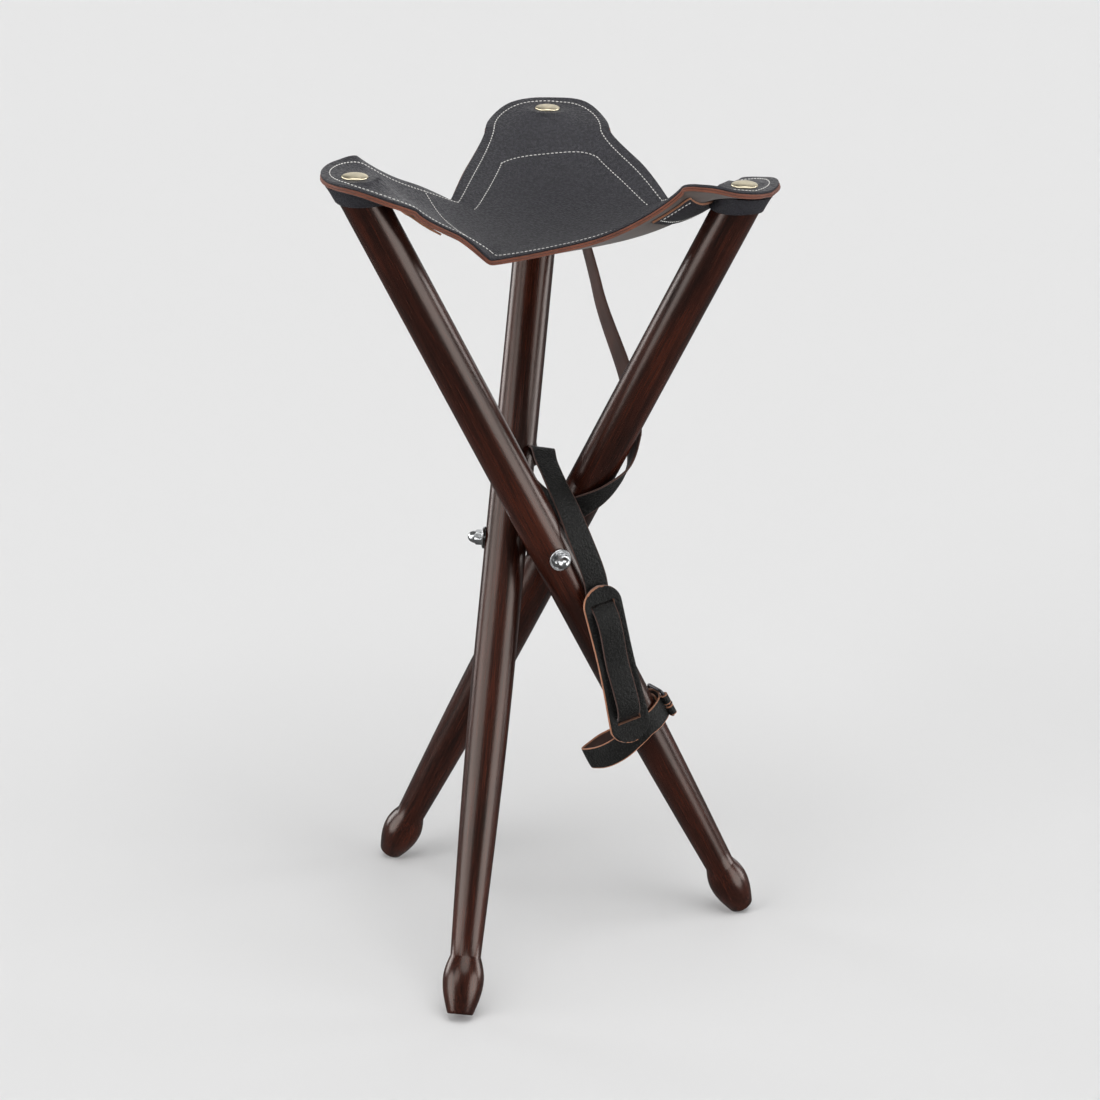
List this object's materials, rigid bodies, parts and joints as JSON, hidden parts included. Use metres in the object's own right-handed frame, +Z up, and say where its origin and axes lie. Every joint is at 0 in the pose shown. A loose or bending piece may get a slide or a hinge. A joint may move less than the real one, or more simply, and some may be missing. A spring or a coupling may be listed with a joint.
{
  "type": "folding tripod stool",
  "caption": "Folding tripod stool with turned wooden legs crossing at a three-way stud, a sagging leather seat and a carrying strap with shoulder pad.",
  "frame": {"origin": "on the floor, under the middle of the open stool's box", "axes": "+Z up, -Y towards the side that the picture was taken from, +X to its right"},
  "size_m": [0.343, 0.3806, 0.664],
  "materials": {
    "stained_wood": "dark stained, satin lacquer",
    "black_leather": "pebbled black leather",
    "brown_leather": "plain brown leather, matt",
    "zinc": "zinc plated",
    "pale_brass": "pale brass plated, semi gloss"
  },
  "bodies": {
    "hub": {"three_way_stud": "zinc", "left_inner_washer": "zinc", "left_outer_washer": "zinc", "left_cap_nut": "zinc", "seat_left_panel": "black_leather", "lining_left_panel": "brown_leather", "left_pocket_patch": "black_leather", "right_inner_washer": "zinc", "right_outer_washer": "zinc", "right_cap_nut": "zinc", "seat_right_panel": "black_leather", "lining_right_panel": "brown_leather", "right_pocket_patch": "black_leather", "rear_inner_washer": "zinc", "rear_outer_washer": "zinc", "rear_cap_nut": "zinc", "seat_rear_panel": "black_leather", "lining_rear_panel": "brown_leather", "rear_pocket_patch": "black_leather", "strap_wrap": "black_leather", "strap_drop": "black_leather"},
    "left_leg": {"left_leg": "stained_wood", "left_pocket": "black_leather", "left_seat_nail": "pale_brass", "seat_left_corner": "black_leather", "lining_left_corner": "brown_leather", "shoulder_pad": "black_leather", "strap_front": "black_leather", "strap_loop": "black_leather", "strap_keeper": "black_leather", "buckle_frame": "zinc"},
    "right_leg": {"right_leg": "stained_wood", "right_pocket": "black_leather", "right_seat_nail": "pale_brass", "seat_right_corner": "black_leather", "lining_right_corner": "brown_leather"},
    "rear_leg": {"rear_leg": "stained_wood", "rear_pocket": "black_leather", "rear_seat_nail": "pale_brass", "seat_rear_corner": "black_leather", "lining_rear_corner": "brown_leather", "strap_upper": "black_leather"},
    "buckle_prong": {"buckle_prong": "zinc"}
  },
  "joints": [
    {"name": "left_fold", "type": "hinge", "parent": "hub", "child": "left_leg", "pos_m": [0.00224, -0.02406, 0.34254], "axis": [-0.5, 0.866, 0], "range_deg": [0, 24], "deforming": ["seat_left_corner", "lining_left_corner", "seat_left_panel", "lining_left_panel", "left_pocket_patch", "strap_drop", "strap_loop"]},
    {"name": "right_fold", "type": "hinge", "parent": "hub", "child": "right_leg", "pos_m": [0.00224, 0.02392, 0.34254], "axis": [-0.5, -0.866, 0], "range_deg": [0, 24], "deforming": ["seat_right_corner", "lining_right_corner", "seat_right_panel", "lining_right_panel", "right_pocket_patch", "strap_wrap"]},
    {"name": "rear_fold", "type": "hinge", "parent": "hub", "child": "rear_leg", "pos_m": [-0.03931, -0.00007, 0.34254], "axis": [1, 0, 0], "range_deg": [0, 24], "deforming": ["seat_rear_corner", "lining_rear_corner", "seat_rear_panel", "lining_rear_panel", "rear_pocket_patch", "strap_upper"]},
    {"name": "prong_swing", "type": "hinge", "parent": "left_leg", "child": "buckle_prong", "pos_m": [0.09544, 0.01968, 0.20238], "axis": [0.4092, 0.2363, -0.8813], "range_deg": [0, 85]}
  ],
  "couplings": [
    {"joint": "right_fold", "follows": "left_fold", "ratio": 1},
    {"joint": "rear_fold", "follows": "left_fold", "ratio": 1}
  ]
}
